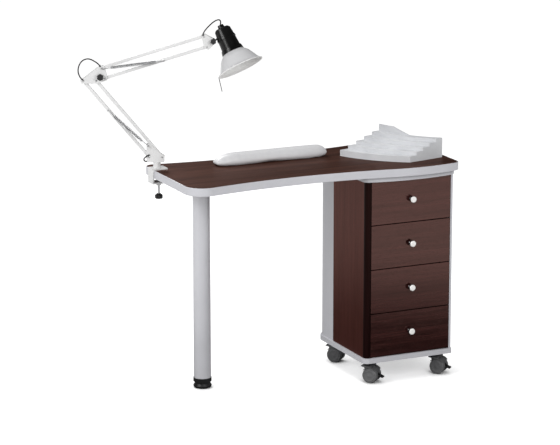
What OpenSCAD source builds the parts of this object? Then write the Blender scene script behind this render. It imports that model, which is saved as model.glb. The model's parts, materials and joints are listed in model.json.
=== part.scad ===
// Manicure table: curved top on one round leg and a drawer cabinet on castors,
// with a clamped work lamp on sprung arms, a padded hand rest and a stepped bottle rack.
// Millimetres, +Z up. The origin is the middle of the leg's foot, on the floor.
// +X runs along the table towards the cabinet, +Y runs away from the person who works at it.

/* [Table top] */
// Height of the table top above the floor
table_h = 775; // [700:5:820]
// Thickness of the table top
top_t = 28; // [22:1:34]
// Thickness of the silver edge band
band_t = 3; // [2:0.5:5]
// Leg axis to the left end of the top
top_left = 152; // [130:1:190]
// Leg axis to the right end of the top
top_right = 864; // [860:1:920]
// Leg axis to the deepest point of the hollow front edge
front_dip = 246; // [235:1:255]
// Leg axis to the furthest point of the bowed front edge
front_bow = 286.5; // [276:0.5:300]
// Leg axis to the deepest point of the hollow back edge
back_dip = 118; // [105:1:125]
// Leg axis to the furthest point of the bowed back edge
back_bow = 160; // [152:1:175]
// Radius of the hollow of the front edge
front_dip_r = 1850; // [1500:10:1950]
// Radius of the hollow of the back edge
back_dip_r = 2300; // [1900:10:2350]
// Radius of the corner above the leg
corner_leg_r = 65; // [40:1:80]
// Radius of the other corners
corner_r = 32; // [20:1:45]

/* [Cabinet] */
// Leg axis to the outer face of the left side panel
cab_left = 516; // [500:1:530]
// Width of the cabinet over its side panels
cab_w = 337.5; // [325:0.5:345]
// Leg axis to the face of the drawer fronts
cab_front = 231; // [215:1:240]
// Leg axis to the outer face of the back panel
cab_back = 142; // [130:1:146]
// Thickness of the panels
panel_t = 18; // [15:1:20]
// Outer radius of the curved rear corners
rear_r = 40; // [30:1:60]
// Leg axis to the joints between the side panels and the bent back
rear_y = 22; // [15:1:60]
// Thickness of the top and bottom plates
plate_t = 18; // [15:1:22]
// Underside of the bottom plate above the floor
plate_z = 80; // [76:1:90]
// Overhang of the plates past the panels
plate_over = 6; // [3:0.5:10]
// Overhang of the plates on the right
plate_over_right = 2.5; // [1:0.5:6]
// Left overhang of the top plate
top_plate_over = 12; // [6:0.5:16]
// Reach of the top plate's bowed front past the drawer fronts
top_plate_bow = 35; // [20:1:45]
// Radius of the top plate's bowed front
top_plate_bow_r = 690; // [500:10:900]
// Width of the rounded front corner post
post_w = 20; // [16:0.5:24]
// Width of the silver trim at the right of the drawers
trim_w = 8; // [6:0.5:10]

/* [Drawers] */
// Number of drawers
drawer_n = 4; // [4]
// Thickness of a drawer front
front_t = 18; // [15:1:20]
// Gap between the drawer fronts
front_gap = 3; // [2:0.5:5]
// Height of a drawer box
box_h = 108; // [80:1:120]
// Leg axis to the back of the drawer boxes
box_back = 36; // [0:1:45]
// Wall of a drawer box
box_wall = 12; // [10:0.5:15]
// Bottom of a drawer box
box_floor = 8; // [5:0.5:12]
// Gap between drawer box and side panel
runner_gap = 12.5; // [10:0.5:16]
// Height of a runner
runner_h = 12; // [8:0.5:18]
// Diameter of a drawer knob
knob_d = 22; // [16:0.5:30]
// Length of a drawer knob
knob_l = 21; // [15:0.5:30]

/* [Leg] */
// Diameter of the leg tube
leg_d = 60; // [50:1:70]
// Wall of the leg tube
leg_wall = 2; // [1.5:0.1:3]
// Diameter of the collar and of the foot
foot_d = 64; // [60:1:80]
// Height of the levelling foot
foot_h = 22.7; // [18:0.1:28]
// Height of the collar on the end of the tube
collar_h = 14; // [10:0.5:20]
// Diameter of the foot's stud
stud_d = 10; // [8:0.5:14]
// Diameter of the flange under the top
flange_d = 100; // [90:1:110]

/* [Castors] */
// Diameter of a castor wheel
wheel_d = 54; // [44:1:60]
// Width of one of the two wheels
wheel_w = 19; // [14:0.5:22]
// Thickness of the castor's middle web
web_t = 10; // [8:0.5:14]
// Swivel axis to wheel axle
trail = 18; // [12:0.5:20]
// Inset of the swivel axes from the plate's sides
castor_inset_x = 40; // [36:1:60]
// Inset of the swivel axes from the plate's front
castor_inset_front = 56; // [44:1:70]
// Inset of the swivel axes from the plate's back
castor_inset_back = 46; // [44:1:70]
// Turn of the castors about their stems
castor_turn = -50; // [-90:1:90]
// Diameter of the castor stem
stem_d = 11; // [8:0.5:12]
// Diameter of the wheel axle
axle_d = 8; // [6:0.5:10]

/* [Lamp clamp] */
// Leg axis to the lamp's swivel axis, along the depth of the table
lamp_y = 72; // [50:1:90]
// Lamp's swivel axis to the left end of the top
lamp_in = 19; // [17:0.5:26]
// Turn of the lamp about its swivel axis
lamp_turn = -23.5; // [-40:0.5:40]
// Width of the clamp
clamp_w = 44; // [34:1:50]
// Thickness of the clamp's strip
clamp_t = 5; // [4:0.5:6]
// Reach of the clamp over the top
clamp_reach = 50; // [46:1:60]
// Gap below the top in the open clamp
clamp_open = 15; // [13:0.5:20]
// Diameter of the swivel pin
pin_d = 12; // [8:0.5:14]
// Height of the swivel socket
socket_h = 20; // [14:0.5:26]
// Diameter of the clamp screw
screw_d = 8; // [6:0.5:10]
// Length of the clamp screw below the top
screw_l = 58; // [48:1:70]
// Diameter of the clamp knob
clamp_knob_d = 27; // [20:0.5:34]

/* [Lamp arms] */
// Pivot to pivot length of the lower arm
lower_l = 345; // [300:1:400]
// Slope of the lower arm
lower_a = 129.8; // [120:0.1:140]
// Pivot to pivot length of the upper arm
upper_l = 362; // [300:1:420]
// Slope of the upper arm
upper_a = 17; // [5:0.1:30]
// Side of the square arm tubes
bar_s = 10; // [8:0.5:12]
// Wall of the arm tubes
bar_wall = 1.5; // [1:0.1:2]
// Tube left past a pivot
bar_end = 7; // [6:0.5:9]
// Distance between the two lower pivots
lower_gap = 44; // [36:1:50]
// Thickness of the arm brackets' cheeks
cheek_t = 3; // [2:0.1:4]
// Diameter of the pivot pins
pivot_d = 5; // [4:0.1:6]
// Height of the lower pivots above the socket
pivot_up = 18; // [16:0.5:24]
// Distance of a spring from the middle of the arm
spring_y = 16; // [15:0.5:20]
// Mean radius of the springs
spring_r = 4.2; // [3.5:0.1:5]
// Diameter of the spring wire
spring_d = 2.4; // [1.8:0.1:2.6]
// Number of curls of the lower spring
lower_curls = 32; // [20:1:36]
// Number of curls of the upper spring
upper_curls = 38; // [20:1:40]
// Length of bar from the lower pivot to the lower spring's stud
lower_stud = 213; // [190:1:230]
// Length of bar from the elbow to the upper spring's stud
upper_stud = 209; // [190:1:230]
// Diameter of the lamp's cable
cable_d = 4.4; // [4:0.1:5]

/* [Lamp head] */
// Lean of the head from upright
head_lean = -29.5; // [-45:0.5:0]
// Turn of the head towards the front
head_yaw = -16; // [-30:0.5:30]
// Turn of the lamp head about the line of the arms, towards the worker
head_roll = -12.5; // [-20:0.5:0]
// Diameter of the shade's mouth
mouth_d = 164; // [140:1:190]
// Diameter where shade and cap meet
neck_d = 79; // [70:1:90]
// Height of the shade
shade_h = 60; // [50:1:75]
// Wall of the shade
shade_t = 1.6; // [1.2:0.1:2.4]
// Height of the black cap
cap_h = 89; // [80:1:100]
// Diameter of the cap's top
cap_top_d = 56; // [50:1:60]
// Diameter of the bulb
bulb_d = 58; // [45:1:62]

/* [Hand rest] */
// Length of the hand rest
rest_l = 436; // [360:1:460]
// Depth of the hand rest
rest_w = 82; // [60:1:100]
// Height of the hand rest
rest_h = 36; // [25:1:45]
// Leg axis to the left end of the hand rest
rest_x = 52; // [20:1:80]
// Leg axis to the middle of the hand rest
rest_y = 37; // [10:1:60]

/* [Bottle rack] */
// Length of the rack's front
rack_l = 263; // [200:1:280]
// Depth of one tier at its left end
tier_d = 35.5; // [24:0.5:38]
// Depth of one tier at its right end
tier_d_right = 29; // [24:0.5:30]
// Number of tiers
tier_n = 5; // [3:1:5]
// Height of the lowest tier
tier_h = 22; // [15:1:30]
// Rise from tier to tier
tier_rise = 12; // [8:0.5:16]
// Bow of the tiers' front edges
tier_bow = 20; // [5:1:25]
// Height of the raised part of the rack's back
rack_crest = 24; // [10:1:35]

/* [Fits] */
// Radial clearance of a running pin
run_fit = 0.05; // [0.02:0.01:0.1]
// Clearance beside a sliding or turning piece
side_fit = 0.3; // [0.2:0.05:0.6]

/* [Hidden] */
$fn = 48;

wenge = [0.24, 0.15, 0.12];
dark = [0.10, 0.05, 0.05];
silver = [0.76, 0.76, 0.79];
white = [0.92, 0.92, 0.93];
black = [0.05, 0.05, 0.05];
grey = [0.38, 0.38, 0.39];
steel = [0.66, 0.66, 0.67];

// Points of an arc about c, from angle a0 to a1
function arc(c, r, a0, a1, n) =
    [for (i = [0:n]) let (a = a0 + (a1 - a0) * i / n) c + r * [cos(a), sin(a)]];
function heading(v) = atan2(v[1], v[0]);
// Point at distance l and slope a from p
function along(p, l, a) = p + l * [cos(a), sin(a)];

// Table top outline: each long edge is a hollow arc that runs into a bowed arc
dip_x = 265;
bow_x = 708;
back_bow_x = 760;
front_step = front_bow - front_dip;
back_step = back_bow - back_dip;
front_bow_r = (pow(bow_x - dip_x, 2) + pow(front_step, 2)) / (2 * front_step) - front_dip_r;
back_bow_r = (pow(back_bow_x - dip_x, 2) + pow(back_step, 2)) / (2 * back_step) - back_dip_r;
front_dip_c = [dip_x, -front_dip - front_dip_r];
front_bow_c = [bow_x, -front_bow + front_bow_r];
back_dip_c = [dip_x, back_dip + back_dip_r];
back_bow_c = [back_bow_x, back_bow - back_bow_r];
// Middle of a corner arc of radius r at x that touches a circle c from s = 1 above or -1 below
function corner_mid(x, c, reach, s) = [x, c[1] + s * sqrt(pow(reach, 2) - pow(x - c[0], 2))];
leg_corner = corner_mid(corner_leg_r - top_left, front_dip_c, front_dip_r + corner_leg_r, 1);
right_corner = corner_mid(top_right - corner_r, front_bow_c, front_bow_r - corner_r, -1);
back_right_corner = corner_mid(top_right - corner_r, back_bow_c, back_bow_r - corner_r, 1);
back_left_corner = corner_mid(corner_r - top_left, back_dip_c, back_dip_r + corner_r, -1);
// Outline of the top, drawn in by d
function top_outline(d) =
    let (dip_a = heading(leg_corner - front_dip_c),
         step_a = heading(front_bow_c - front_dip_c),
         right_a = heading(right_corner - front_bow_c) + 360,
         back_a = heading(back_right_corner - back_bow_c),
         back_step_a = heading(back_bow_c - back_dip_c),
         left_a = heading(back_left_corner - back_dip_c))
    concat(arc(leg_corner, corner_leg_r - d, 180, dip_a + 180, 10),
        arc(front_dip_c, front_dip_r + d, dip_a, step_a, 14),
        arc(front_bow_c, front_bow_r - d, step_a + 180, right_a, 10),
        arc(right_corner, corner_r - d, right_a, 360, 6),
        arc(back_right_corner, corner_r - d, 0, back_a, 6),
        arc(back_bow_c, back_bow_r - d, back_a, back_step_a + 180, 8),
        arc(back_dip_c, back_dip_r + d, back_step_a, left_a, 14),
        arc(back_left_corner, corner_r - d, left_a + 180, 180, 6));

top_z = table_h - top_t;
module tabletop() {
    color(wenge) translate([0, 0, top_z]) linear_extrude(top_t) polygon(top_outline(band_t));
}
module tabletop_edge_band() {
    color(silver) translate([0, 0, top_z]) linear_extrude(top_t) difference() {
        polygon(top_outline(0));
        polygon(top_outline(band_t));
    }
}

// Cabinet: two plates, side panels and a back bent round both rear corners
cab_right = cab_left + cab_w;
cab_z = plate_z + plate_t;
cab_top = top_z - plate_t;
cab_h = cab_top - cab_z;
corner_y = cab_back - rear_r;
plate_r = 25;
plate_right_r = 6;
post_d = front_t - 1.5;
post_r = 15;
// Rear half of a plate's outline, from its right side to its left side
function rear_outline(left, right, over) = concat(
    arc([right - rear_r - over, corner_y], rear_r + over, 0, 90, 12),
    arc([left + rear_r + over, corner_y], rear_r + over, 90, 180, 12));
top_plate_left = cab_left - top_plate_over;
top_plate_right = cab_right + plate_over_right;
top_plate_mid = [(top_plate_left + top_plate_right) / 2 + 10,
    top_plate_bow_r - cab_front - top_plate_bow];
top_plate_corner = corner_mid(top_plate_left + plate_r, top_plate_mid, top_plate_bow_r - plate_r, -1);
top_plate_corner_right =
    corner_mid(top_plate_right - plate_r, top_plate_mid, top_plate_bow_r - plate_r, -1);
module cabinet_top_plate() {
    left_a = heading(top_plate_corner - top_plate_mid) + 360;
    right_a = heading(top_plate_corner_right - top_plate_mid) + 360;
    color(silver) translate([0, 0, cab_top]) linear_extrude(plate_t) polygon(concat(
        arc(top_plate_corner, plate_r, 180, left_a, 8),
        arc(top_plate_mid, top_plate_bow_r, left_a, right_a, 14),
        arc(top_plate_corner_right, plate_r, right_a, 360, 8),
        rear_outline(top_plate_left, top_plate_right, plate_over)));
}
plate_left = cab_left - plate_over;
plate_right = cab_right + plate_over_right;
plate_front = -cab_front - plate_over;
stem_hole = 15;
castor_places = [
    [plate_left + castor_inset_x, plate_front + castor_inset_front],
    [plate_right - castor_inset_x, plate_front + castor_inset_front],
    [plate_left + castor_inset_x, cab_back + plate_over - castor_inset_back],
    [plate_right - castor_inset_x, cab_back + plate_over - castor_inset_back]];
module cabinet_bottom_plate() {
    color(silver) translate([0, 0, plate_z]) difference() {
        linear_extrude(plate_t) polygon(concat(
            arc([plate_left + plate_r, plate_front + plate_r], plate_r, 180, 270, 8),
            arc([plate_right - plate_right_r, plate_front + plate_right_r], plate_right_r, 270, 360, 4),
            rear_outline(plate_left, plate_right, plate_over)));
        for (p = castor_places)
            translate([p[0], p[1], -1]) cylinder(d = stem_d + 2 * run_fit, h = stem_hole + 1);
    }
}
panel_front = post_d - cab_front;
module left_side_panel() {
    color(wenge) translate([cab_left, panel_front, cab_z]) cube([panel_t, rear_y - panel_front, cab_h]);
}
trim_d = front_t + 0.5;
module right_side_panel() {
    color(silver) translate([cab_right - panel_t, trim_d - cab_front, cab_z])
        cube([panel_t, rear_y + cab_front - trim_d, cab_h]);
}
module front_corner_post() {
    color(dark) translate([cab_left, -cab_front, cab_z]) linear_extrude(cab_h) polygon(concat(
        arc([post_r, post_r], post_r, 180, 270, 10), [[post_w, 0], [post_w, post_d], [0, post_d]]));
}
module right_front_trim() {
    color(silver) translate([cab_right - trim_w, -cab_front, cab_z]) cube([trim_w, trim_d, cab_h]);
}
module curved_back_panel() {
    color(silver) {
        for (side = [[cab_left + rear_r, 90], [cab_right - rear_r, 0]])
            translate([side[0], corner_y, cab_z]) rotate([0, 0, side[1]]) rotate_extrude(angle = 90)
                translate([rear_r - panel_t, 0]) square([panel_t, cab_h]);
        for (x = [cab_left, cab_right - panel_t])
            translate([x, rear_y, cab_z]) cube([panel_t, corner_y - rear_y, cab_h]);
        translate([cab_left + rear_r, cab_back - panel_t, cab_z])
            cube([cab_w - 2 * rear_r, panel_t, cab_h]);
    }
}

// Drawers: grooved boxes that slide on runners screwed to the side panels
drawer_pitch = cab_h / drawer_n;
front_left = cab_left + post_w + 1.5;
front_right = cab_right - trim_w - 1.5;
front_h = drawer_pitch - front_gap;
box_left = cab_left + panel_t + runner_gap;
box_right = cab_right - panel_t - runner_gap;
box_front = front_t - cab_front;
box_up = 14;
groove_up = 48;
groove_d = box_wall / 2;
runner_front = box_front + 16;
runner_back = min(box_back - 6, rear_y);
function front_z(i) = cab_z + front_gap / 2 + (i - 1) * drawer_pitch;
function runner_z(i) = front_z(i) + box_up + groove_up;
module drawer_runners() {
    color(steel) for (i = [1:drawer_n], x = [cab_left + panel_t, box_right - groove_d + side_fit])
        translate([x, runner_front, runner_z(i)])
            cube([runner_gap + groove_d - side_fit, runner_back - runner_front, runner_h]);
}
module drawer_front(i) {
    color(wenge) translate([front_left, -cab_front, front_z(i)])
        cube([front_right - front_left, front_t, front_h]);
}
module drawer_box(i) {
    w = box_right - box_left;
    d = box_back - box_front;
    color(silver) translate([box_left, box_front, front_z(i) + box_up]) difference() {
        cube([w, d, box_h]);
        translate([box_wall, box_wall, box_floor])
            cube([w - 2 * box_wall, d - 2 * box_wall, box_h]);
        for (x = [-1, w - groove_d])
            translate([x, runner_front - box_front - side_fit, groove_up - side_fit])
                cube([groove_d + 1, d, runner_h + 2 * side_fit]);
    }
}
knob_x = (front_left + front_right) / 2;
knob_up = 4;
module drawer_knob(i) {
    r = knob_d / 2;
    neck = 0.55 * r;
    color(white) translate([knob_x, -cab_front, front_z(i) + front_h / 2 + knob_up])
        rotate([90, 0, 0]) rotate_extrude() polygon(concat(
            [[0, 0], [neck + 2, 0], [neck, 3], [neck, knob_l / 2 - 2], [r, knob_l / 2 + 2]],
            arc([r - 4, knob_l - 4], 4, 0, 90, 6), [[0, knob_l]]));
}

// Leg: tube under a flange, with a collar and a levelling foot
collar_z = foot_h + side_fit;
tube_z = collar_z + 4;
flange_t = 4;
spigot_h = 20;
screw_ring = 37;
module leg_tube() {
    color(silver) translate([0, 0, tube_z]) difference() {
        cylinder(d = leg_d, h = top_z - flange_t - tube_z, $fn = 96);
        translate([0, 0, -1]) cylinder(d = leg_d - 2 * leg_wall, h = top_z, $fn = 96);
    }
}
module leg_flange() {
    spigot_r = leg_d / 2 - leg_wall - run_fit;
    color(steel) translate([0, 0, top_z - flange_t]) {
        difference() {
            union() {
                cylinder(d = flange_d, h = flange_t);
                translate([0, 0, -spigot_h]) cylinder(r = spigot_r, h = spigot_h + 1);
            }
            translate([0, 0, -spigot_h - 1]) cylinder(r = spigot_r - 3, h = spigot_h + 1);
        }
        for (a = [45:90:315])
            rotate([0, 0, a]) translate([screw_ring + 2, 0, -2.5]) cylinder(d = 8, h = 2.5);
    }
}
module leg_collar() {
    color(black) translate([0, 0, collar_z]) difference() {
        cylinder(d = foot_d, h = collar_h);
        translate([0, 0, tube_z - collar_z]) cylinder(d = leg_d + 2 * run_fit, h = collar_h);
        translate([0, 0, -1]) cylinder(d = stud_d + 2 * run_fit, h = collar_h);
    }
}
module levelling_foot() {
    r = foot_d / 2;
    color(black) rotate_extrude() polygon(concat([[0, 0], [r - 6, 0]],
        arc([r - 6, 8], 6, -60, 60, 6),
        [[r - 5, 17], [r - 5, foot_h], [stud_d / 2, foot_h], [stud_d / 2, foot_h + 38], [0, foot_h + 38]]));
}

// Twin-wheel castors, drawn with the stem on Z and the wheels behind it on +X
wheel_r = wheel_d / 2;
wheel_gap = 0.5;
hood_r = wheel_r + 3.5;
axle_l = web_t + 2 * (wheel_gap + wheel_w);
brake_pivot = [trail + 22, wheel_r + 6];
module place_castor(n) {
    translate([castor_places[n - 1][0], castor_places[n - 1][1], 0]) rotate([0, 0, castor_turn]) children();
}
module across(w) {
    rotate([90, 0, 0]) translate([0, 0, -w / 2]) linear_extrude(w) children();
}
module castor_body(n, brake) {
    boss_z = wheel_d + 4;
    color(grey) place_castor(n) difference() {
        union() {
            across(web_t) {
                polygon(concat(arc([trail, wheel_r], wheel_r - 5, -150, 30, 16),
                    [[brake_pivot[0] + 5, brake_pivot[1] + 5], [trail + 6, boss_z + 4], [-stem_d, boss_z + 4],
                     [-stem_d, boss_z]]));
            }
            translate([trail, 0, wheel_r]) rotate([90, 0, 0]) translate([0, 0, -axle_l / 2])
                rotate([0, 0, 38]) rotate_extrude(angle = 104) translate([hood_r - 2.5, 0])
                    square([2.5, axle_l]);
            across(axle_l) polygon([[-stem_d - 2, boss_z + 1], [trail, wheel_r + hood_r - 2.5],
                [trail + 6, wheel_r + hood_r - 2], [trail + 6, boss_z + 4], [-stem_d - 2, boss_z + 4]]);
            translate([0, 0, boss_z]) cylinder(d = 2 * stem_d, h = plate_z - side_fit - boss_z);
            cylinder_up(stem_d, boss_z, plate_z + stem_hole - 1);
        }
        translate([trail, web_t, wheel_r]) rotate([90, 0, 0])
            cylinder(d = axle_d + 2 * run_fit, h = 2 * web_t);
        if (brake) brake_slot();
    }
    if (brake) color(grey) place_castor(n) translate([brake_pivot[0], web_t / 2, brake_pivot[1]])
        rotate([90, 0, 0]) cylinder(d = 4, h = web_t);
}
module cylinder_up(d, z0, z1) {
    translate([0, 0, z0]) cylinder(d = d, h = z1 - z0);
}
brake_w = 5;
module brake_slot() {
    translate([brake_pivot[0], 0, brake_pivot[1]]) across(brake_w + 2 * side_fit)
        polygon([[-8, -12], [30, -12], [30, 7.5], [-8, 7.5]]);
}
module brake_lever(n) {
    color(black) place_castor(n) translate([brake_pivot[0], 0, brake_pivot[1]]) difference() {
        union() {
            across(brake_w) polygon([[-4, -4], [3, -5], [13, -9], [13, -3], [4, 4], [-4, 4]]);
            across(18) polygon([[9, -9], [22, -12], [23, -8], [9.5, -3]]);
        }
        translate([0, brake_w, 0]) rotate([90, 0, 0]) cylinder(d = 4 + 2 * run_fit, h = 2 * brake_w);
    }
}
module castor_wheels(n) {
    color(grey) place_castor(n) translate([trail, axle_l / 2, wheel_r]) rotate([90, 0, 0])
        rotate_extrude() polygon([[0, 0], [wheel_r - 3, 0], [wheel_r, 3], [wheel_r, wheel_w - 1],
            [wheel_r - 1, wheel_w], [axle_d / 2, wheel_w], [axle_d / 2, axle_l - wheel_w],
            [wheel_r - 1, axle_l - wheel_w], [wheel_r, axle_l - wheel_w + 1], [wheel_r, axle_l - 3],
            [wheel_r - 3, axle_l], [0, axle_l]]);
}

// Lamp clamp on the left end of the top
lamp_x = lamp_in - top_left;
clamp_back = -top_left - side_fit;
jaw_z = top_z - clamp_open;
screw_x = lamp_x + 6;
socket_z = table_h + clamp_t;
module lamp_clamp() {
    color(white) difference() {
        union() {
            translate([0, lamp_y, 0]) across(clamp_w) polygon([
                [clamp_back, table_h], [clamp_back + clamp_reach, table_h],
                [clamp_back + clamp_reach, socket_z], [clamp_back - clamp_t, socket_z],
                [clamp_back - clamp_t, jaw_z - clamp_t], [clamp_back + clamp_reach - 8, jaw_z - clamp_t],
                [clamp_back + clamp_reach - 8, jaw_z], [clamp_back, jaw_z]]);
            translate([lamp_x, lamp_y, socket_z]) cylinder(d = 2.1 * pin_d, h = socket_h);
            translate([screw_x, lamp_y, jaw_z - clamp_t - 8]) cylinder(d = 2.2 * screw_d, h = 8);
        }
        translate([lamp_x, lamp_y, socket_z]) cylinder(d = pin_d + 2 * run_fit, h = socket_h + 1);
        translate([screw_x, lamp_y, jaw_z - 60]) cylinder(d = screw_d + 2 * run_fit, h = 70);
    }
}
pad_t = 3;
module clamp_screw() {
    color(steel) translate([screw_x, lamp_y, 0]) {
        cylinder_up(20, top_z - side_fit - pad_t, top_z - side_fit);
        cylinder_up(screw_d, top_z - screw_l, top_z - pad_t);
    }
}
clamp_knob_h = 18;
module clamp_knob() {
    r = clamp_knob_d / 2;
    color(black) translate([screw_x, lamp_y, top_z - screw_l - clamp_knob_h]) difference() {
        rotate_extrude() polygon(concat([[0, 0], [r - 4, 0]], arc([r - 4, 4], 4, -90, 0, 5),
            [[r, clamp_knob_h - 6], [r - 7, clamp_knob_h], [0, clamp_knob_h]]));
        for (a = [0:60:300])
            rotate([0, 0, a]) translate([r + 2, 0, -1]) cylinder(d = 8, h = clamp_knob_h + 2);
    }
}

// Lamp arms, drawn in the plane of the arms: x along the arms, y across, z up from the floor.
// Each arm is two parallel tubes, so the elbow and the head bracket stay level.
base_z = socket_z + socket_h;
pivot_z = base_z + pivot_up;
base_a = [-26, pivot_z];
base_b = base_a + [lower_gap, 0];
base_stud = base_a + [-4, 41];
elbow_a = along(base_a, lower_l, lower_a);
elbow_b = along(base_b, lower_l, lower_a);
elbow_c = elbow_a + [64, 44];
elbow_d = elbow_a + [74, 8];
elbow_screw = elbow_a + [59, 14];
head_c = along(elbow_c, upper_l, upper_a);
head_d = along(elbow_d, upper_l, upper_a);
head_pivot = head_c + [32, -15];
cheek_in = bar_s / 2 + 0.5;
cheek_out = cheek_in + cheek_t;
module place_lamp() {
    translate([lamp_x, lamp_y, 0]) rotate([0, 0, lamp_turn]) children();
}
module pin_at(p, d, y0, y1) {
    translate([p[0], y1, p[1]]) rotate([90, 0, 0]) cylinder(d = d, h = y1 - y0);
}
module cheeks(points) {
    for (y = [-cheek_in - cheek_t / 2, cheek_in + cheek_t / 2])
        translate([0, y, 0]) across(cheek_t) polygon(points);
}
module bar(p, l, a, stud) {
    translate([p[0], 0, p[1]]) rotate([0, -a, 0]) {
        difference() {
            translate([-bar_end, -bar_s / 2, -bar_s / 2]) cube([l + 2 * bar_end, bar_s, bar_s]);
            translate([-bar_end - 1, bar_wall - bar_s / 2, bar_wall - bar_s / 2])
                cube([l + 2 * bar_end + 2, bar_s - 2 * bar_wall, bar_s - 2 * bar_wall]);
            for (x = [0, l]) pin_at([x, 0], pivot_d + 2 * run_fit, -bar_s, bar_s);
        }
        if (stud > 0) pin_at([stud, 0], spring_d, -spring_y - spring_d, -bar_s / 2);
    }
}
module lamp_base() {
    color(white) place_lamp() {
        cylinder_up(pin_d, socket_z + 1, base_z + 4);
        translate([-34, -cheek_out, base_z + side_fit]) cube([60, 2 * cheek_out, pivot_up - 9.5]);
        cheeks([base_a + [-8, 0.5 - pivot_up], base_b + [8, 0.5 - pivot_up], base_b + [9, 4],
            base_b + [-4, 12], base_stud + [6, 6], base_stud + [-4, 5], base_a + [-10, 6]]);
        for (p = [base_a, base_b]) pin_at(p, pivot_d, -cheek_out, cheek_out);
        pin_at(base_stud, spring_d, -spring_y - spring_d, -cheek_in);
    }
}
module lower_arm_bar() {
    color(white) place_lamp() bar(base_a, lower_l, lower_a, lower_stud);
}
module lower_link_bar() {
    color(white) place_lamp() bar(base_b, lower_l, lower_a, 0);
}
module lamp_elbow() {
    color(white) place_lamp() {
        cheeks([elbow_a + [-9, 0], elbow_a + [-5, -9], elbow_b + [4, -10], elbow_d + [9, -5],
            elbow_d + [8, 6], elbow_c + [8, 7], elbow_c + [-5, 9]]);
        for (p = [elbow_a, elbow_b, elbow_c, elbow_d]) pin_at(p, pivot_d, -cheek_out, cheek_out);
        pin_at(elbow_c + [4, -1], spring_d, -spring_y - spring_d, -cheek_in);
        pin_at(elbow_screw, knob_pin_d, -cheek_out - knob_pin_l, -cheek_in);
    }
}
// Black hand knob on a stud that stands out of a cheek
knob_pin_d = 6;
knob_pin_l = 12;
module hand_knob(p, d) {
    front = -cheek_out - 16;
    color(black) place_lamp() translate([p[0], 0, p[1]]) difference() {
        union() {
            pin_at([0, 0], 0.55 * d, front, -cheek_out - side_fit);
            pin_at([0, 0], d, front, front + 11);
        }
        for (a = [0:60:300]) pin_at(along([0, 0], 0.6 * d, a), 0.32 * d, front - 1, front + 12);
        pin_at([0, 0], knob_pin_d + 2 * run_fit, -cheek_out - knob_pin_l - side_fit, 0);
    }
}
module elbow_knob() {
    hand_knob(elbow_screw, 22);
}
module upper_arm_bar() {
    color(white) place_lamp() bar(elbow_c, upper_l, upper_a, 0);
}
module upper_link_bar() {
    color(white) place_lamp() bar(elbow_d, upper_l, upper_a, upper_stud);
}
module head_bracket() {
    color(white) place_lamp() {
        cheeks([head_c + [-9, 4], head_c + [-4, 9], head_c + [5, 8], head_pivot + [9, 3],
            head_pivot + [8, -7], head_d + [6, -9], head_d + [-9, -5]]);
        for (p = [head_c, head_d]) pin_at(p, pivot_d, -cheek_out, cheek_out);
        pin_at(head_pivot, knob_pin_d, -cheek_out - knob_pin_l, cheek_out);
    }
}
module head_knob() {
    hand_knob(head_pivot, 19);
}

// Springs: one tube wound along a line from stud to stud, with a straight tail at each end
function tube_ring(c, u, v, r, n) =
    [for (k = [0:n - 1]) c + r * (cos(360 * k / n) * u + sin(360 * k / n) * v)];
function unit(v) = v / norm(v);
spring_steps = 8;
spring_tail = 24;
function spring_path(l, curls) =
    let (last = curls * spring_steps, wound = l - 2 * spring_tail)
    concat([[0, 0, 0], [spring_d, 0, 0]],
        [for (i = [0:last]) let (a = 360 * i / spring_steps, r = spring_r * min(1, i / 4, (last - i) / 4))
            [spring_tail + wound * i / last, r * cos(a), r * sin(a)]],
        [[l - spring_d, 0, 0], [l, 0, 0]]);
// Tube of n sides swept along a path of points, with its ends closed
module tube(path, d, n) {
    last = len(path) - 1;
    dirs = [for (i = [0:last]) unit(path[min(i + 1, last)] - path[max(i - 1, 0)])];
    sides = [for (t = dirs) unit(cross(t, abs(t[1]) < 0.8 ? [0, 1, 0] : [1, 0, 0]))];
    points = [for (i = [0:last]) each tube_ring(path[i], sides[i], cross(dirs[i], sides[i]), d / 2, n)];
    walls = [for (i = [0:last - 1], k = [0:n - 1]) let (a = i * n + k, b = i * n + (k + 1) % n)
        each [[a, b, b + n], [a, b + n, a + n]]];
    caps = [for (k = [1:n - 2]) each [[0, k + 1, k], [last * n, last * n + k, last * n + k + 1]]];
    polyhedron(points, concat(walls, caps));
}
// Least gap between the turns of a spring, measured on its path one turn apart
function least_gap(path) = min([for (i = [2:len(path) - 3 - spring_steps], j = [-2:2])
    let (k = min(len(path) - 3, i + spring_steps + j)) norm(path[i] - path[k])]) - spring_d;
module spring(p, q, curls) {
    l = norm(q - p);
    inset = spring_d / 2 + side_fit;
    path = spring_path(l - 2 * inset, curls);
    echo(spring_gap = least_gap(path));
    place_lamp() translate([p[0], -spring_y, p[1]]) rotate([0, -heading(q - p), 0])
        translate([inset, 0, 0]) tube(path, spring_d, 6);
}
module lower_spring() {
    color(steel) spring(base_stud, along(base_a, lower_stud, lower_a), lower_curls);
}
module upper_spring() {
    color(steel) spring(elbow_c + [4, -1], along(elbow_d, upper_stud, upper_a), upper_curls);
}

// Lamp head: cap, shade and bulb on one axis, drawn with the neck at the origin and the mouth below
head_out = 71;
head_drop = 35;
module place_head() {
    place_lamp() translate([head_pivot[0], 0, head_pivot[1]]) rotate([0, 0, head_yaw])
        rotate([head_roll, 0, 0]) translate([head_out, 0, -head_drop]) rotate([0, head_lean, 0]) children();
}
neck_r = neck_d / 2;
cap_r = cap_top_d / 2;
cap_wall = 2;
socket_r = 19;
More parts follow.
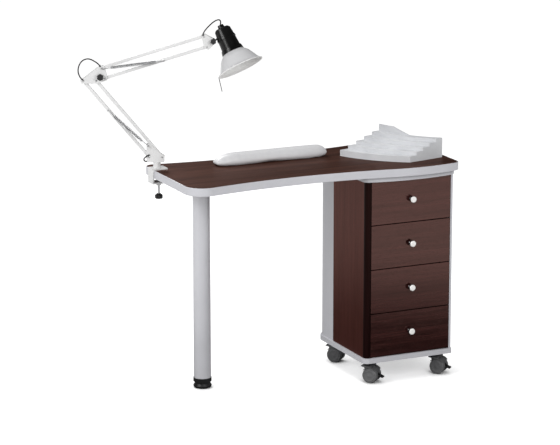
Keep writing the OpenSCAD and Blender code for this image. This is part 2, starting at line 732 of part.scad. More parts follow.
// Outside of the cap from the neck up, and its inside from the top down
cap_outside = [[neck_r, 0], [neck_r - 3, 14], [neck_r - 6, 15], [neck_r - 8, 48], [neck_r - 6, 49],
    [neck_r - 7, 56], [cap_r + 3, 57], [cap_r, cap_h - 5], [cap_r - 5, cap_h], [12, cap_h],
    [10, cap_h + 12], [0, cap_h + 12]];
cap_inside = [[0, cap_h - 40], [socket_r, cap_h - 40], [socket_r, cap_h - 8], [cap_r - 6, cap_h - 8],
    [cap_r + 3 - cap_wall, 55], [neck_r - 8 - cap_wall, 46], [neck_r - 6 - cap_wall, 17],
    [neck_r - 3 - cap_wall, 12], [neck_r - cap_wall, 0]];
module lamp_cap() {
    color(black) place_head() rotate_extrude() polygon(concat(cap_outside, cap_inside));
}
// Stem with an eye on the head pivot and a boss that is cut to sit on the side of the cap
head_stem_d = 5.6;
head_boss_d = 9;
head_boss_from = 12.5;
head_stem_l = 20;
module head_stem() {
    eye = 8;
    color(black) difference() {
        place_lamp() union() {
            pin_at(head_pivot, 2 * eye, -bar_s / 2, bar_s / 2);
            translate([head_pivot[0], 0, head_pivot[1]]) rotate([0, 0, head_yaw]) rotate([0, 68, 0]) {
                cylinder(d = head_stem_d, h = head_stem_l);
                translate([0, 0, head_boss_from]) cylinder(d = head_boss_d, h = head_stem_l - head_boss_from);
            }
        }
        place_lamp() pin_at(head_pivot, knob_pin_d + 2 * run_fit, -bar_s, bar_s);
        place_head() rotate_extrude() polygon(concat([[0, 0]],
            [for (p = cap_outside) [p[0] > 0 ? p[0] + run_fit : 0, p[1]]]));
    }
}
module lamp_shade() {
    m = mouth_d / 2;
    collar_r = neck_r - cap_wall - 0.2;
    color(white) place_head() rotate_extrude($fn = 96) polygon([
        [collar_r - 1.7 - shade_t, 6], [collar_r - 1.7, 6], [collar_r, -0.2], [neck_r + 12, -14],
        [m - 10, -shade_h + 9],
        [m, -shade_h + 2], [m, -shade_h], [m - shade_t, -shade_h], [m - 11, -shade_h + 7],
        [neck_r + 11, -15.5], [collar_r - shade_t, -3]]);
}
module lamp_bulb() {
    r = bulb_d / 2;
    color(white) place_head() rotate_extrude() polygon(concat(
        [[0, cap_h - 40 - side_fit], [13, cap_h - 40 - side_fit], [13, 20], [16, 10]],
        arc([0, r - shade_h + 14], r, 40, -90, 14)));
}
// Rod that hangs against the upper edge of the shade's rim
handle_d = 2.6;
handle_lean = -17 - head_lean;
module shade_handle() {
    color(grey) place_head()
        translate([-mouth_d / 2 - handle_d / 2 / cos(handle_lean) - run_fit, 0, 2 - shade_h])
            rotate([0, handle_lean, 0]) rotate([180, 0, 0]) cylinder_up(handle_d, -3, 46);
}

// Cables: points chosen by hand, in the plane of the arms, for the three loops that show.
// The base and elbow loops lie against the front cheek and count from a pivot there;
// the head loop counts from the head bracket's upper pivot and ends on the cap's nub.
cable_y = -cheek_out - cable_d / 2 - 0.05;
base_cable_route = [[2, 8], [-5, 6], [-12, 1], [-17, -6], [-18, -14], [-14, -21], [-7, -24]];
elbow_cable_route = [[2, 2], [-5, 8], [-11, 17], [-15, 29], [-15, 43], [-10, 58], [0, 70], [14, 76],
    [28, 74], [41, 67], [52, 59], [60, 49]];
head_cable_route = [[-3, 3], [-2, 10], [3, 20], [12, 31], [23, 42], [34, 51], [44, 56], [51, 57],
    [56, 53], [57, 46], [56, 39]];
// The route's points from a pivot, moved across from cable_y by drift at the last one
function cable_path(pivot, route, drift) = [for (i = [0:len(route) - 1])
    [pivot[0] + route[i][0], cable_y + drift * pow(i / (len(route) - 1), 3), pivot[1] + route[i][1]]];
module cable(path) {
    color(black) place_lamp() tube(path, cable_d, 8);
}
module base_cable() {
    cable(cable_path(base_a, base_cable_route, 0));
}
module elbow_cable() {
    cable(cable_path(elbow_a, elbow_cable_route, 0));
}
module head_cable() {
    cable(cable_path(head_c, head_cable_route, 15.9));
}

// Hand rest: one long pad with a crown and drawn-in sides
pad_levels = [[0, 3], [4, 0.6], [11, 0], [18, 1.4], [25, 5.5], [31, 13], [34.6, 22], [36, 33]];
pad_sides = 56;
pad_draw = 3;
// One ring of the pad: a long rounded outline, drawn in along its sides and by d all round
function pad_ring(z, d) = [for (k = [0:pad_sides - 1])
    let (a = 360 * k / pad_sides, c = cos(a), s = sin(a), q = 1 / pow(pow(abs(c), 5) + pow(abs(s), 2.6), 0.3),
         x = max(-1, min(1, q * c)), y = max(-1, min(1, q * s)))
    [(rest_l / 2 - d) * x, (rest_w / 2 - d - pad_draw * pow(1 - x * x, 2)) * y, z]];
module hand_rest_pad() {
    n = pad_sides;
    last = len(pad_levels) - 1;
    rise = rest_h / 36;
    points = concat([for (l = pad_levels) each pad_ring(l[0] * rise, l[1])], [[0, 0, 0], [0, 0, rest_h]]);
    mid = len(points) - 2;
    walls = [for (i = [0:last - 1], k = [0:n - 1]) let (a = i * n + k, b = i * n + (k + 1) % n)
        each [[a, b + n, b], [a, a + n, b + n]]];
    under = [for (k = [0:n - 1]) [mid, k, (k + 1) % n]];
    over = [for (k = [0:n - 1]) [mid + 1, last * n + (k + 1) % n, last * n + k]];
    color(white) translate([rest_x + rest_l / 2, rest_y, table_h])
        polyhedron(points, concat(walls, under, over));
}

// Bottle rack: bowed tiers that step up to a crested back
rack_corner = [699, -203];
tier_a = 130.8;
depth_a = 12;
// Points of an arc from p to q that bows out by bow, to the left of the way from p to q
function bowed(p, q, bow, n) =
    let (a = heading(q - p), half_l = norm(q - p) / 2, r = (half_l * half_l + bow * bow) / (2 * bow),
         half = asin(half_l / r))
    arc((p + q) / 2 + along([0, 0], r - bow, a - 90), r, a + 90 + half, a + 90 - half, n);
// Front edge of tier i, counted from 0, from its right end to its left end, which stops short by cut
function tier_front(i, n, cut) = bowed(along(rack_corner, tier_d_right * i, depth_a),
    along(along(rack_corner, rack_l - cut, tier_a), tier_d * i, depth_a), tier_bow, n);
function reversed(v) = [for (i = [len(v) - 1:-1:0]) v[i]];
module tier(first, last, cut, h) {
    linear_extrude(h) polygon(concat(tier_front(first, 10, cut), reversed(tier_front(last, 10, cut))));
}
crest_from = 0.44;
crest_full = 0.7;
crest_depth = 0.17;
crest_inset = 0.03;
crest_cut = 2;
// The crest is rooted in the last tier by root, and its sloped shoulder starts inside the tier
module bottle_rack() {
    upper_h = tier_h + (tier_n - 1) * tier_rise;
    crest_h = upper_h + rack_crest;
    root = 4;
    shoulder = (crest_full - crest_from) * rack_l * (1 + root / rack_crest);
    color(white) translate([0, 0, table_h]) {
        for (i = [0:tier_n - 1]) tier(i, i + 1, 0, tier_h + i * tier_rise);
        intersection() {
            translate([0, 0, upper_h - 2 * root])
                tier(tier_n - crest_depth, tier_n - crest_inset, crest_cut, rack_crest + 3 * root);
            translate(along(rack_corner, tier_n * tier_d_right, depth_a)) rotate([0, 0, tier_a])
                across(2 * rack_l) polygon([[crest_full * rack_l - shoulder, 0],
                    [crest_full * rack_l - shoulder, upper_h - root],
                    [crest_full * rack_l, crest_h], [2 * rack_l, crest_h], [2 * rack_l, 0]]);
        }
    }
}

tabletop();
tabletop_edge_band();
cabinet_top_plate();
cabinet_bottom_plate();
left_side_panel();
right_side_panel();
front_corner_post();
right_front_trim();
curved_back_panel();
drawer_runners();
for (i = [1:drawer_n]) {
    drawer_front(i);
    drawer_box(i);
    drawer_knob(i);
}
leg_tube();
leg_flange();
leg_collar();
levelling_foot();
castor_body(1, true);  // castor_body_front_left
castor_body(2, true);  // castor_body_front_right
castor_body(3, false);  // castor_body_rear_left
castor_body(4, false);  // castor_body_rear_right
castor_wheels(1);  // castor_wheels_front_left
castor_wheels(2);  // castor_wheels_front_right
castor_wheels(3);  // castor_wheels_rear_left
castor_wheels(4);  // castor_wheels_rear_right
brake_lever(1);  // brake_lever_front_left
brake_lever(2);  // brake_lever_front_right
lamp_clamp();
clamp_screw();
clamp_knob();
lamp_base();
lower_arm_bar();
lower_link_bar();
lower_spring();
lamp_elbow();
elbow_knob();
upper_arm_bar();
upper_link_bar();
upper_spring();
head_bracket();
head_knob();
head_stem();
lamp_cap();
lamp_shade();
lamp_bulb();
shade_handle();
base_cable();
elbow_cable();
head_cable();
hand_rest_pad();
bottle_rack();
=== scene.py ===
"""A manicure table with its clamp-on lamp, hand rest and bottle rack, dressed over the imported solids."""

import json
import math

import bpy
from mathutils import Matrix, Vector


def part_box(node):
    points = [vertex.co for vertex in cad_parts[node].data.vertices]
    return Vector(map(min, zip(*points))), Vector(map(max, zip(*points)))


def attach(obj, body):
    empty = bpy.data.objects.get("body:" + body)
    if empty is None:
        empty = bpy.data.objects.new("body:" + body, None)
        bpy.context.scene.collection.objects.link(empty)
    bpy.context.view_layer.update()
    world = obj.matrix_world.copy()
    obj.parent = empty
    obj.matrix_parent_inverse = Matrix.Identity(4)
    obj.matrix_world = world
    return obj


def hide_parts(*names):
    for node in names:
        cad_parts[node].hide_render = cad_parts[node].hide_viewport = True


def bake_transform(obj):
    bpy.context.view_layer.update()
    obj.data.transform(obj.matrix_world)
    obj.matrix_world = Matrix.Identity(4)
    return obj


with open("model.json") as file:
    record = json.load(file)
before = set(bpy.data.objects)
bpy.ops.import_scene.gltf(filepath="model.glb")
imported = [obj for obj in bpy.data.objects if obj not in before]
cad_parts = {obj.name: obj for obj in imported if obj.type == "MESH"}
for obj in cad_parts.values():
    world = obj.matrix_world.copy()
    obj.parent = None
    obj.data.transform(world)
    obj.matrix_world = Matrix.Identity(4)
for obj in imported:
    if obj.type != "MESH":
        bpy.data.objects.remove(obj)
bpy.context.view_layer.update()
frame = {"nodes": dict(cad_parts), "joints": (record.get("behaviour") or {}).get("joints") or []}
nodes = frame["nodes"]
scene = bpy.context.scene


# Table top: a board veneered in wenge, whose grain runs along the table, with a silver band glued round it.
# The veneer's grain is noise stretched along the board, with short dark pores cut into the satin lacquer.
class Value:
    """A socket in a node tree. Arithmetic on it adds Math nodes."""

    def __init__(self, owner, socket):
        self.owner = owner
        self.socket = socket

    def __add__(self, other):
        return self.owner.node("ShaderNodeMath", [self, other], operation="ADD")

    def __mul__(self, other):
        return self.owner.node("ShaderNodeMath", [self, other], operation="MULTIPLY")

    __radd__ = __add__
    __rmul__ = __mul__

    def between(self, low, high):
        """0 at low and below, 1 at high and above, smooth in between."""
        return self.owner.node("ShaderNodeMapRange", [self, low, high], interpolation_type="SMOOTHSTEP")

    def pick(self, first, second):
        """The first number where this is 0, the second where it is 1."""
        return self.owner.node("ShaderNodeMapRange", {"Value": self, "To Min": first, "To Max": second})

    def mix(self, first, second):
        """The first colour where this is 0, the second where it is 1."""
        return self.owner.node("ShaderNodeMix", {0: self, 6: first, 7: second}, output=2, data_type="RGBA")


class Nodes:
    """A node tree in the making."""

    def __init__(self, tree):
        self.tree = tree

    def node(self, kind, inputs, output=0, **settings):
        """Adds a node and gives one of its outputs. A colour is written as three numbers."""
        made = self.tree.nodes.new(kind)
        for name, value in settings.items():
            setattr(made, name, value)
        pairs = inputs.items() if isinstance(inputs, dict) else enumerate(inputs)
        for key, value in pairs:
            socket = made.inputs[key]
            if isinstance(value, Value):
                self.tree.links.new(value.socket, socket)
            elif socket.type == "RGBA":
                socket.default_value = (*value, 1)
            else:
                socket.default_value = value
        return Value(self, made.outputs[output])


class Paint(Nodes):
    """A material in the making: a Principled shader, with constants on its own sockets."""

    def __init__(self, name, **constants):
        self.material = bpy.data.materials.new(name)
        self.material.use_nodes = True
        super().__init__(self.material.node_tree)
        self.shader = self.tree.nodes["Principled BSDF"]
        for label, value in constants.items():
            self.shader.inputs[label.replace("_", " ")].default_value = value
        self.place = self.node("ShaderNodeTexCoord", {}, output="Object")

    def stretched(self, stretch):
        return self.node("ShaderNodeVectorMath", [self.place, stretch], operation="MULTIPLY")

    def noise(self, scale, detail, stretch=(1, 1, 1), roughness=0.55):
        at = self.stretched(stretch)
        sockets = {"Vector": at, "Scale": scale, "Detail": detail, "Roughness": roughness}
        return self.node("ShaderNodeTexNoise", sockets)

    def cells(self, scale, stretch=(1, 1, 1), feature="F1"):
        sockets = {"Vector": self.stretched(stretch), "Scale": scale}
        return self.node("ShaderNodeTexVoronoi", sockets, feature=feature)

    def bump(self, height, distance, strength):
        return self.node("ShaderNodeBump", {"Height": height, "Distance": distance, "Strength": strength})

    def done(self, **sockets):
        for label, value in sockets.items():
            self.tree.links.new(value.socket, self.shader.inputs[label.replace("_", " ")])
        return self.material


weld_reach = 0.00002
sharp_angle = math.radians(38)


def dress(material, names, edge=0.0):
    """Paints CAD nodes and rounds their sharp edges by edge metres."""
    for name in names:
        piece = nodes[name]
        piece.data.materials.clear()
        piece.data.materials.append(material)
        if edge > 0:
            weld = piece.modifiers.new("weld", "WELD")
            weld.merge_threshold = weld_reach
            bevel = piece.modifiers.new("edges", "BEVEL")
            bevel.width = edge
            bevel.segments = 2
            bevel.limit_method = "ANGLE"
            bevel.angle_limit = sharp_angle
            piece.modifiers.new("normals", "WEIGHTED_NORMAL")


def wenge(name, along, dark, light, shine, rough, pearl=0.0):
    """Wenge veneer under lacquer, with its grain along one axis: 0 for X, 2 for Z.

    Its reflections take the wood's warm tone. Pearl is the metallic share, which keeps it at a low angle.
    """
    broad = [1.0, 1.0, 1.0]
    broad[along] = 0.035
    fine = [1.0, 1.0, 1.0]
    fine[along] = 0.024
    paint = Paint(name, Specular_IOR_Level=shine, Specular_Tint=(1.0, 0.58, 0.50, 1), Metallic=pearl)
    figure = paint.noise(46.0, 4.0, broad, 0.75)
    fibre = paint.noise(420.0, 2.0, fine)
    pores = paint.cells(1050.0, fine).between(0.08, 0.30)
    tone = (figure * 0.7 + fibre * 0.4).between(0.38, 0.74)
    pore_colour = [0.55 * c for c in dark]
    colour = pores.mix(pore_colour, tone.mix(dark, light))
    relief = paint.bump(pores + fibre * 0.3, 0.00012, 0.5)
    return paint.done(Base_Color=colour, Roughness=fibre * 0.12 + rough, Normal=relief)


fine_edge = 0.0006
top_veneer = wenge("wenge_top", 0, (0.028, 0.010, 0.006), (0.090, 0.037, 0.025), 0.06, 0.40, 0.15)
dress(top_veneer, ["tabletop"], fine_edge)


def silver(name, colour, metal, gloss):
    """Silver-grey lacquer with fine flakes and faint clouding."""
    paint = Paint(name, Specular_IOR_Level=0.4, Metallic=metal)
    flakes = paint.cells(2600.0).between(0.15, 0.75)
    cloud = paint.noise(9.0, 3.0)
    pale = [1.12 * c for c in colour]
    tone = (flakes * 0.35 + cloud * 0.65).between(0.25, 0.8)
    relief = paint.bump(flakes, 0.00003, 0.35)
    return paint.done(Base_Color=tone.mix(colour, pale), Roughness=cloud * 0.10 + gloss, Normal=relief)


soft_edge = 0.0012
silver_board = silver("silver_board", (0.54, 0.54, 0.57), 0.1, 0.36)
dress(silver_board, ["tabletop_edge_band"], soft_edge)


# Cabinet: silver top and bottom plates, a wenge left side with its grain upright, a rounded corner post
# painted near-black as a painted dark reflection, a silver right side and a silver back bent round both rear
# corners.
panel_veneer = wenge("wenge_panel", 2, (0.046, 0.013, 0.010), (0.080, 0.026, 0.021), 0.09, 0.24, 0.35)
dress(panel_veneer, ["left_side_panel"], fine_edge)
# The post's near-black colour is a painted dark reflection.
post_painted_dark = wenge("wenge_post", 2, (0.004, 0.001, 0.001), (0.010, 0.003, 0.003), 0.1, 0.3)
dress(post_painted_dark, ["front_corner_post"], fine_edge)
dress(silver_board, ["cabinet_top_plate", "cabinet_bottom_plate"], soft_edge)
dress(silver_board, ["right_side_panel", "right_front_trim", "curved_back_panel"], fine_edge)


# Drawers: glossy wenge fronts with the grain across, and grey laminated boxes on steel runners.
# Each knob, screwed on, has a pearl face; its barrel, told apart by the depth from its front, is painted
# near-black as painted shade.
drawer_numbers = range(1, 5)
front_edge = 0.0008
front_veneer = wenge("wenge_drawer", 0, (0.010, 0.002, 0.002), (0.042, 0.013, 0.012), 0.85, 0.06)
dress(front_veneer, [f"drawer_front_{i}" for i in drawer_numbers], front_edge)

board = Paint("drawer_board", Specular_IOR_Level=0.3)
board_fleck = board.noise(160.0, 4.0)
board_grey = board_fleck.between(0.3, 0.7).mix((0.45, 0.45, 0.46), (0.49, 0.49, 0.50))
board_relief = board.bump(board_fleck, 0.00002, 0.2)
board.done(Base_Color=board_grey, Roughness=board_fleck * 0.2 + 0.4, Normal=board_relief)
dress(board.material, [f"drawer_box_{i}" for i in drawer_numbers], fine_edge)

knob = Paint("pearl_knob", Specular_IOR_Level=0.6, Coat_Roughness=0.06)
knob_swirl = knob.noise(120.0, 2.0)
knob_pearl = knob_swirl.between(0.3, 0.7).mix((0.88, 0.86, 0.84), (0.95, 0.95, 0.94))
knob_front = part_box("drawer_knob_1")[0][1]
face_ends = knob_front + 0.0040
painted_shade_starts = knob_front + 0.0046
knob_depth = knob.node("ShaderNodeSeparateXYZ", [knob.place], output="Y")
# The near-black barrel behind the pearl face is painted shade, seen dark in the glossy front.
pearl_and_painted_shade = knob_depth.between(face_ends, painted_shade_starts).mix(knob_pearl, (0.008, 0.006, 0.006))
knob.done(Base_Color=pearl_and_painted_shade, Roughness=knob_swirl * 0.12 + 0.12, Coat_Weight=knob_swirl * 0.4 + 0.3)
dress(knob.material, [f"drawer_knob_{i}" for i in drawer_numbers])

zinc = Paint("zinc_steel", Metallic=1.0)
zinc_grain = zinc.noise(300.0, 3.0, (1, 0.1, 1))
zinc_tone = zinc_grain.between(0.25, 0.75).mix((0.42, 0.42, 0.43), (0.62, 0.62, 0.62))
zinc_relief = zinc.bump(zinc_grain, 0.00002, 0.4)
zinc.done(Base_Color=zinc_tone, Roughness=zinc_grain * 0.3 + 0.2, Normal=zinc_relief)
dress(zinc.material, ["drawer_runners"], fine_edge)


# Leg: a silver powder-coated tube under a screwed steel flange, with a black collar and a levelling foot.
# The foot's black plastic is that of the brake levers and the hand knobs too.
steel_edge = 0.0005
leg_coat = silver("silver_leg", (0.60, 0.60, 0.63), 0.3, 0.32)
dress(leg_coat, ["leg_tube"])
dress(zinc.material, ["leg_flange"], steel_edge)


def moulded(name, dark, light, gloss, grain=500.0, shine=0.45):
    """Moulded plastic with a fine spark-eroded grain."""
    paint = Paint(name, Specular_IOR_Level=shine)
    skin = paint.noise(grain, 2.0)
    cloud = paint.noise(14.0, 2.0)
    tone = cloud.between(0.25, 0.75).mix(dark, light)
    relief = paint.bump(skin, 0.00005, 0.4)
    return paint.done(Base_Color=tone, Roughness=skin * 0.18 + gloss, Normal=relief)


moulded_edge = 0.0008
black_plastic = moulded("black_plastic", (0.006, 0.006, 0.006), (0.016, 0.016, 0.017), 0.30)
dress(black_plastic, ["leg_collar", "levelling_foot"], moulded_edge)


# Castors: twin grey wheels under a hood that swivels in the bottom plate.
# The front two have black brake levers. Each wheel's outer face carries a lathed hub cap with a raised rim.
castor_grey = moulded("castor_grey", (0.085, 0.085, 0.088), (0.12, 0.12, 0.123), 0.30)
wheel_grey = moulded("wheel_grey", (0.10, 0.10, 0.103), (0.14, 0.14, 0.143), 0.32, 260.0)
corners = ["front_left", "front_right", "rear_left", "rear_right"]
dress(castor_grey, [f"castor_body_{c}" for c in corners], fine_edge)
dress(wheel_grey, [f"castor_wheels_{c}" for c in corners], moulded_edge)
dress(black_plastic, ["brake_lever_front_left", "brake_lever_front_right"], fine_edge)


def lathe(profile, sides, place):
    """Points and faces of a profile of (radius, height) points turned round Z, then moved by a matrix."""
    turns = [2 * math.pi * k / sides for k in range(sides)]
    points = [place @ Vector((r * math.cos(t), r * math.sin(t), z)) for r, z in profile for t in turns]
    faces = []
    for ring in range(len(profile) - 1):
        low = ring * sides
        high = low + sides
        for k in range(sides):
            after = (k + 1) % sides
            faces.append((low + k, low + after, high + after, high + k))
    return points, faces


def mesh_object(name, parts, material):
    """One smooth mesh object from several (points, faces) parts."""
    points = []
    faces = []
    for part_points, part_faces in parts:
        start = len(points)
        points += part_points
        faces += [tuple(start + i for i in face) for face in part_faces]
    mesh = bpy.data.meshes.new(name)
    mesh.from_pydata(points, [], faces)
    mesh.materials.append(material)
    for polygon in mesh.polygons:
        polygon.use_smooth = True
    made = bpy.data.objects.new(name, mesh)
    scene.collection.objects.link(made)
    return made


def towards(point, axis):
    """The matrix that puts Z along axis, at point."""
    turn = Vector(axis).to_track_quat("Z", "Y").to_matrix().to_4x4()
    return Matrix.Translation(Vector(point)) @ turn


def middle(name):
    low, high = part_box(name)
    return (Vector(low) + Vector(high)) / 2


joints = {joint["name"]: joint for joint in frame["joints"]}
wheel_half = 0.0245
hub_sides = 40
hub_profile = [(0.0, 0.0012), (0.0045, 0.0011), (0.0055, 0.0004), (0.012, 0.0003), (0.0165, 0.0005),
               (0.0175, 0.0012), (0.0195, 0.0012), (0.0205, 0.0), (0.0205, -0.0004)]
for corner in corners:
    axle = Vector(joints[f"wheel_roll_{corner}"]["axis"])
    hub = middle(f"castor_wheels_{corner}")
    caps = []
    for side in (-1, 1):
        face_place = towards(hub + side * wheel_half * axle, side * axle)
        caps.append(lathe(hub_profile, hub_sides, face_place))
    hub_caps = mesh_object(f"hub_caps_{corner}", caps, wheel_grey)
    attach(hub_caps, f"wheels_{corner}")


# Lamp clamp and arms: white enamelled steel strip, brackets and square tubes.
# The clamp's screw is plain steel, and its knob and those at elbow and head are black.
def enamel(name, colour, gloss, painted_light_inside=None, mouth=None):
    """Stove enamel with a faint orange-peel skin. Faces turned to the mouth take a lighter colour as painted
    light, if one is given.
    """
    paint = Paint(name, Specular_IOR_Level=0.5)
    peel = paint.noise(340.0, 2.0)
    cloud = paint.noise(11.0, 2.0)
    shaded = [0.94 * c for c in colour]
    tone = cloud.between(0.3, 0.7).mix(shaded, colour)
    if painted_light_inside:
        facing = paint.node("ShaderNodeTexCoord", {}, output="Normal")
        inside = paint.node("ShaderNodeVectorMath", [facing, mouth], output="Value", operation="DOT_PRODUCT")
        tone = inside.between(-0.05, 0.05).mix(tone, painted_light_inside)
    relief = paint.bump(peel, 0.00002, 0.15)
    return paint.done(Base_Color=tone, Roughness=peel * 0.10 + gloss, Normal=relief)


tube_edge = 0.0007
white_enamel = enamel("white_enamel", (0.72, 0.72, 0.72), 0.22)
dress(white_enamel, ["lamp_clamp", "lamp_base", "lamp_elbow", "head_bracket"], fine_edge)
dress(white_enamel, ["lower_arm_bar", "lower_link_bar", "upper_arm_bar", "upper_link_bar"], tube_edge)
dress(zinc.material, ["clamp_screw"], steel_edge)
dress(black_plastic, ["clamp_knob", "elbow_knob", "head_knob"], tube_edge)


# Rivets: domed steel heads on both cheeks at each pivot of the lamp's arms, one mesh for each bracket.
# A Geometry Nodes tree sets a flattened ball on each point, with its height along the pivot's axis.
class Growth(Nodes):
    """A Geometry Nodes tree in the making: its inputs are named, and its result becomes a plain mesh."""

    def __init__(self, name, material, **sizes):
        super().__init__(bpy.data.node_groups.new(name, "GeometryNodeTree"))
        self.material = material
        face = self.tree.interface
        face.new_socket("Shape", in_out="INPUT", socket_type="NodeSocketGeometry")
        face.new_socket("Shape", in_out="OUTPUT", socket_type="NodeSocketGeometry")
        self.values = {}
        for label, value in sizes.items():
            kind = "NodeSocketInt" if isinstance(value, int) else "NodeSocketFloat"
            socket = face.new_socket(label, in_out="INPUT", socket_type=kind)
            self.values[socket.identifier] = value
        self.entry = self.tree.nodes.new("NodeGroupInput")

    def input(self, label):
        return Value(self, self.entry.outputs[label])

    def end(self, shape):
        whole = self.node("GeometryNodeRealizeInstances", {"Geometry": shape})
        smooth = self.node("GeometryNodeSetShadeSmooth", {"Geometry": whole})
        painted = self.node("GeometryNodeSetMaterial", {"Geometry": smooth, "Material": self.material})
        last = self.tree.nodes.new("NodeGroupOutput")
        self.tree.links.new(painted.socket, last.inputs[0])

    def grow(self, name, seed):
        """The plain mesh object that the tree makes from a seed mesh."""
        made = bpy.data.objects.new(name, seed)
        scene.collection.objects.link(made)
        growth = made.modifiers.new("growth", "NODES")
        growth.node_group = self.tree
        for identifier, value in self.values.items():
            growth[identifier] = value
        evaluated = made.evaluated_get(bpy.context.evaluated_depsgraph_get())
        mesh = bpy.data.meshes.new_from_object(evaluated)
        made.modifiers.remove(growth)
        made.data = mesh
        return made


def pivot(name):
    return Vector(joints[name]["pos_m"])


lamp_axis = Vector(joints["lower_arm_lift"]["axis"]).normalized()
cheek_out = 0.0085
riveting = Growth("riveting", zinc.material, Radius=0.0034, Height=0.0015)
rivet_radius = riveting.input("Radius")
rivet_ball = riveting.node("GeometryNodeMeshUVSphere", {"Segments": 20, "Rings": 10, "Radius": 1.0})
rivet_size = riveting.node("ShaderNodeCombineXYZ", [rivet_radius, rivet_radius, riveting.input("Height")])
rivet_head = riveting.node("GeometryNodeTransform", {"Geometry": rivet_ball, "Scale": rivet_size})
upright = riveting.node("FunctionNodeAlignRotationToVector", {"Vector": tuple(lamp_axis)}, axis="Z")
rivet_row = {"Points": riveting.input("Shape"), "Instance": rivet_head, "Rotation": upright}
riveting.end(riveting.node("GeometryNodeInstanceOnPoints", rivet_row))

lower_link = pivot("lower_link_lift") - pivot("lower_arm_lift")
upper_link = pivot("upper_link_lift") - pivot("upper_arm_lift")
rivets = {
    "lamp_base": [pivot("lower_arm_lift"), pivot("lower_link_lift")],
    "elbow": [pivot("elbow_level"), pivot("elbow_level") + lower_link, pivot("upper_arm_lift"),
              pivot("upper_link_lift")],
    "head_bracket": [pivot("head_level"), pivot("head_level") + upper_link],
}
for body, places in rivets.items():
    seed = bpy.data.meshes.new(f"rivet_points_{body}")
    seed.from_pydata([p + side * cheek_out * lamp_axis for p in places for side in (-1, 1)], [], [])
    riveted = riveting.grow(f"rivets_{body}", seed)
    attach(riveted, body)


# Springs: bright wire wound between a stud on a bracket and a stud on an arm tube, hooked round both.
# A Geometry Nodes tree sweeps a round wire along the path. As the arm moves, each spring bends in a span near
# its bracket, given as shares of its length and chosen so that the rest stays straight.
def sweeping(name, material, **sizes):
    """A tree that turns a path of points and edges into a round tube with closed ends."""
    sweep = Growth(name, material, **sizes)
    route = sweep.node("GeometryNodeMeshToCurve", {"Mesh": sweep.input("Shape")})
    circle = {"Resolution": sweep.input("Sides"), "Radius": sweep.input("Radius")}
    ring = sweep.node("GeometryNodeCurvePrimitiveCircle", circle)
    tube = {"Curve": route, "Profile Curve": ring, "Fill Caps": True}
    sweep.end(sweep.node("GeometryNodeCurveToMesh", tube))
    return sweep


def path_mesh(name, path):
    mesh = bpy.data.meshes.new(name)
    mesh.from_pydata(path, [(i, i + 1) for i in range(len(path) - 1)], [])
    return mesh


up_axis = Vector((0, 0, 1))
arm_axis = lamp_axis.cross(up_axis)


def beside(point, along, up, across):
    """A point of the lamp, moved along its arms, up and across them, in metres."""
    return point + along * arm_axis + up * up_axis + across * lamp_axis


def on_bar(joint, reach, slope):
    """The point of an arm tube at a reach from its pivot, with the tube's slope in degrees."""
    turn = math.radians(slope)
    return beside(pivot(joint), reach * math.cos(turn), reach * math.sin(turn), 0)


spring_across = -0.016
spring_radius = 0.0042
hook_radius = 0.0027
hook_points = 11
hook_step = 27
tail = 0.0255
curl_steps = 14
lead_in = 8


def hook(stud, ahead, side, start):
    """Points of a hook round a stud, from a start angle in degrees."""
    turns = [math.radians(start - hook_step * k) for k in range(hook_points)]
    return [stud + hook_radius * (math.cos(t) * ahead + math.sin(t) * side) for t in turns]


def wind(first, second, curls):
    """The path of a spring's wire from stud to stud."""
    ahead = (second - first).normalized()
    side = lamp_axis.cross(ahead)
    coil = (second - first).length - 2 * tail
    last = curls * curl_steps
    path = hook(first, ahead, side, 300)
    for k in range(last + 1):
        turn = 2 * math.pi * k / curl_steps
        reach = spring_radius * min(1, k / lead_in, (last - k) / lead_in)
        place = first + ahead * (tail + coil * k / last)
        path.append(place + reach * (math.cos(turn) * lamp_axis + math.sin(turn) * side))
    return path + hook(second, ahead, side, 150)


chrome = Paint("spring_wire", Metallic=1.0)
chrome_drawn = chrome.noise(700.0, 2.0)
chrome_tone = chrome_drawn.between(0.25, 0.75).mix((0.36, 0.36, 0.37), (0.52, 0.52, 0.53))
chrome.done(Base_Color=chrome_tone, Roughness=chrome_drawn * 0.2 + 0.2)
lower_bracket_stud = beside(pivot("lower_arm_lift"), -0.004, 0.041, 0)
upper_bracket_stud = beside(pivot("upper_arm_lift"), 0.004, -0.001, 0)
spring_ends = {
    "lower_spring": (lower_bracket_stud, on_bar("lower_arm_lift", 0.213, 129.8)),
    "upper_spring": (upper_bracket_stud, on_bar("upper_link_lift", 0.209, 17)),
}
curl_counts = {"lower_spring": 32, "upper_spring": 38}
winding = sweeping("winding", chrome.material, Radius=0.0012, Sides=8)
for name, ends in spring_ends.items():
    first, second = [end + spring_across * lamp_axis for end in ends]
    wire = wind(first, second, curl_counts[name])
    spring = winding.grow(f"{name}_wire", path_mesh(f"{name}_path", wire))
    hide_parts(name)
    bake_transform(spring)


# Cable: the black lead that shows in three loops, at the base, round the elbow and from head bracket to cap.
# The first two lie against the front cheeks, and the base loop turns into the end of its bracket.
rubber = Paint("cable_rubber", Specular_IOR_Level=0.4)
rubber_skin = rubber.noise(600.0, 2.0)
rubber_tone = rubber_skin.between(0.3, 0.7).mix((0.006, 0.006, 0.006), (0.014, 0.014, 0.014))
rubber_relief = rubber.bump(rubber_skin, 0.00003, 0.3)
rubber.done(Base_Color=rubber_tone, Roughness=rubber_skin * 0.2 + 0.35, Normal=rubber_relief)


